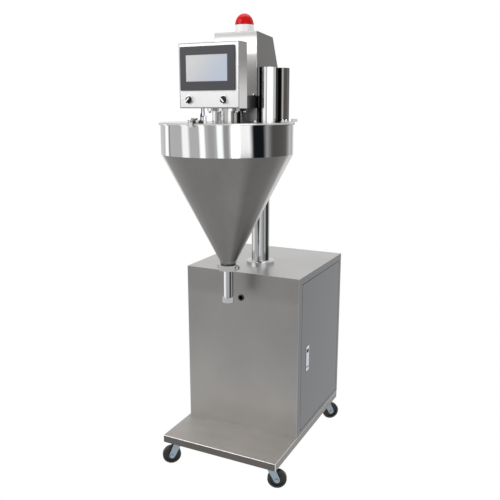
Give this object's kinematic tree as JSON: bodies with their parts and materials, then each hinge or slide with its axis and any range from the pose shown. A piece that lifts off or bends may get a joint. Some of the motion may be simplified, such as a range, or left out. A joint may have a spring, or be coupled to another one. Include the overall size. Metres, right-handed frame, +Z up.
{
  "type": "auger powder filler",
  "caption": "Castered steel cabinet with a column and drive head; a conical hopper with an auger and nozzle fills containers on the tray below.",
  "frame": {"origin": "on the floor, under the middle of the machine's overall box", "axes": "+Z up, -Y to the front where the operator stands, +X to the operator's right, the door's side"},
  "size_m": [0.5429, 0.8763, 1.772],
  "materials": {
    "belt_rubber": "matt",
    "bezel_grey": "matt",
    "black_plastic": "matt",
    "blue_cable": "matt",
    "brushed_stainless": "brushed",
    "device_grey": "matt",
    "frame_steel": "satin grey paint",
    "gasket_silicone": "matt",
    "handle_chrome": "satin chrome",
    "machined_steel": "machined",
    "motor_black": "satin black",
    "motor_grey": "satin grey",
    "polished_stainless": "polished",
    "pulley_aluminium": "machined",
    "red_dome": "glossy, slightly translucent",
    "reflector_chrome": "mirror",
    "screen_glass": "glossy",
    "wheel_rubber": "matt",
    "white_plastic": "glossy",
    "zinc_steel": "zinc plated"
  },
  "bodies": {
    "machine": {"acorn_nuts": "polished_stainless", "base_frame": "frame_steel", "base_tray": "brushed_stainless", "beacon_base": "white_plastic", "beacon_dome": "red_dome", "cabinet_body": "brushed_stainless", "cabinet_rear_panel": "brushed_stainless", "cabinet_top_plate": "brushed_stainless", "cable_glands": "black_plastic", "caster_plates": "zinc_steel", "column_collar": "polished_stainless", "column_tube": "polished_stainless", "control_gear": "device_grey", "door_hinge_pins": "zinc_steel", "drive_belts": "belt_rubber", "dust_vent_tube": "polished_stainless", "ferrule_clamp": "machined_steel", "head_frame": "machined_steel", "hopper": "polished_stainless", "hopper_lid": "polished_stainless", "interlock_cable": "black_plastic", "interlock_switch": "black_plastic", "latch_bases": "machined_steel", "level_sensor": "polished_stainless", "lid_gasket": "gasket_silicone", "motor_housing": "brushed_stainless", "nozzle_end_nut": "machined_steel", "nozzle_tube": "polished_stainless", "operator_panel_box": "brushed_stainless", "powder_inlet_tube": "polished_stainless", "screen_bezel": "bezel_grey", "sensor_cable": "blue_cable", "servo_motor": "motor_black", "spindle_sleeve": "polished_stainless", "stirrer_gearmotor": "motor_grey", "touch_screen": "screen_glass", "transmission_cover": "brushed_stainless"},
    "caster_front_left": {"caster_fork_front_left": "zinc_steel"},
    "wheel_front_left": {"caster_wheel_front_left": "wheel_rubber"},
    "caster_front_right": {"caster_fork_front_right": "zinc_steel"},
    "wheel_front_right": {"caster_wheel_front_right": "wheel_rubber"},
    "caster_rear_left": {"caster_fork_rear_left": "zinc_steel"},
    "wheel_rear_left": {"caster_wheel_rear_left": "wheel_rubber"},
    "caster_rear_right": {"caster_fork_rear_right": "zinc_steel"},
    "wheel_rear_right": {"caster_wheel_rear_right": "wheel_rubber"},
    "auger": {"auger_screw": "polished_stainless", "auger_pulley": "pulley_aluminium"},
    "agitator": {"agitator_frame": "brushed_stainless", "agitator_pulley": "pulley_aluminium"},
    "servo_rotor": {"servo_pulley": "pulley_aluminium"},
    "stirrer_rotor": {"stirrer_pulley": "pulley_aluminium"},
    "door": {"side_door": "brushed_stainless", "door_handle_plate": "handle_chrome"},
    "door_paddle": {"door_paddle": "handle_chrome"},
    "left_knob": {"left_selector_knob": "black_plastic"},
    "right_knob": {"right_selector_knob": "black_plastic"},
    "latch_front": {"latch_lever_front": "machined_steel"},
    "latch_rear_right": {"latch_lever_rear_right": "machined_steel"},
    "latch_rear_left": {"latch_lever_rear_left": "machined_steel"},
    "reflector": {"beacon_reflector": "reflector_chrome"}
  },
  "joints": [
    {"name": "caster_swivel_front_left", "type": "hinge", "parent": "machine", "child": "caster_front_left", "pos_m": [-0.205, -0.234, 0.09], "axis": [0, 0, 1], "continuous": true},
    {"name": "wheel_spin_front_left", "type": "hinge", "parent": "caster_front_left", "child": "wheel_front_left", "pos_m": [-0.22864, -0.25247, 0.0375], "axis": [0.6157, -0.788, 0], "continuous": true},
    {"name": "caster_swivel_front_right", "type": "hinge", "parent": "machine", "child": "caster_front_right", "pos_m": [0.205, -0.234, 0.09], "axis": [0, 0, 1], "continuous": true},
    {"name": "wheel_spin_front_right", "type": "hinge", "parent": "caster_front_right", "child": "wheel_front_right", "pos_m": [0.23282, -0.22276, 0.0375], "axis": [-0.3746, 0.9272, 0], "continuous": true},
    {"name": "caster_swivel_rear_left", "type": "hinge", "parent": "machine", "child": "caster_rear_left", "pos_m": [-0.205, 0.388, 0.09], "axis": [0, 0, 1], "continuous": true},
    {"name": "wheel_spin_rear_left", "type": "hinge", "parent": "caster_rear_left", "child": "wheel_rear_left", "pos_m": [-0.235, 0.388, 0.0375], "axis": [0, -1, 0], "continuous": true},
    {"name": "caster_swivel_rear_right", "type": "hinge", "parent": "machine", "child": "caster_rear_right", "pos_m": [0.205, 0.388, 0.09], "axis": [0, 0, 1], "continuous": true},
    {"name": "wheel_spin_rear_right", "type": "hinge", "parent": "caster_rear_right", "child": "wheel_rear_right", "pos_m": [0.22864, 0.40647, 0.0375], "axis": [-0.6157, 0.788, 0], "continuous": true},
    {"name": "auger_spin", "type": "hinge", "parent": "machine", "child": "auger", "pos_m": [0, -0.173, 1.2], "axis": [0, 0, 1], "continuous": true},
    {"name": "servo_spin", "type": "hinge", "parent": "machine", "child": "servo_rotor", "pos_m": [-0.041, -0.053, 1.465], "axis": [0, 0, 1], "continuous": true},
    {"name": "agitator_spin", "type": "hinge", "parent": "machine", "child": "agitator", "pos_m": [0, -0.173, 1.39], "axis": [0, 0, 1], "continuous": true},
    {"name": "stirrer_spin", "type": "hinge", "parent": "machine", "child": "stirrer_rotor", "pos_m": [0.041, -0.053, 1.45], "axis": [0, 0, 1], "continuous": true},
    {"name": "door_hinge", "type": "hinge", "parent": "machine", "child": "door", "pos_m": [0.2445, 0.401, 0.456], "axis": [0, 0, 1], "range_deg": [0, 110]},
    {"name": "paddle_pull", "type": "hinge", "parent": "door", "child": "door_paddle", "pos_m": [0.249, 0.033, 0.406], "axis": [0, 1, 0], "range_deg": [0, 40]},
    {"name": "left_selector_turn", "type": "hinge", "parent": "machine", "child": "left_knob", "pos_m": [-0.078, -0.3044, 1.459], "axis": [0, -1, 0], "range_deg": [0, 90]},
    {"name": "right_selector_turn", "type": "hinge", "parent": "machine", "child": "right_knob", "pos_m": [0.058, -0.3044, 1.459], "axis": [0, 1, 0], "range_deg": [0, 90]},
    {"name": "latch_front_lift", "type": "hinge", "parent": "machine", "child": "latch_front", "pos_m": [0, -0.4235, 1.388], "axis": [-1, 0, 0], "range_deg": [0, 100]},
    {"name": "latch_rear_right_lift", "type": "hinge", "parent": "machine", "child": "latch_rear_right", "pos_m": [0.21694, -0.04775, 1.388], "axis": [0.5, -0.866, 0], "range_deg": [0, 100]},
    {"name": "latch_rear_left_lift", "type": "hinge", "parent": "machine", "child": "latch_rear_left", "pos_m": [-0.21694, -0.04775, 1.388], "axis": [0.5, 0.866, 0], "range_deg": [0, 100]},
    {"name": "beacon_turn", "type": "hinge", "parent": "machine", "child": "reflector", "pos_m": [0, -0.033, 1.735], "axis": [0, 0, 1], "continuous": true}
  ],
  "couplings": [
    {"joint": "servo_spin", "follows": "auger_spin", "ratio": 1.6138},
    {"joint": "stirrer_spin", "follows": "agitator_spin", "ratio": 1.6138}
  ]
}
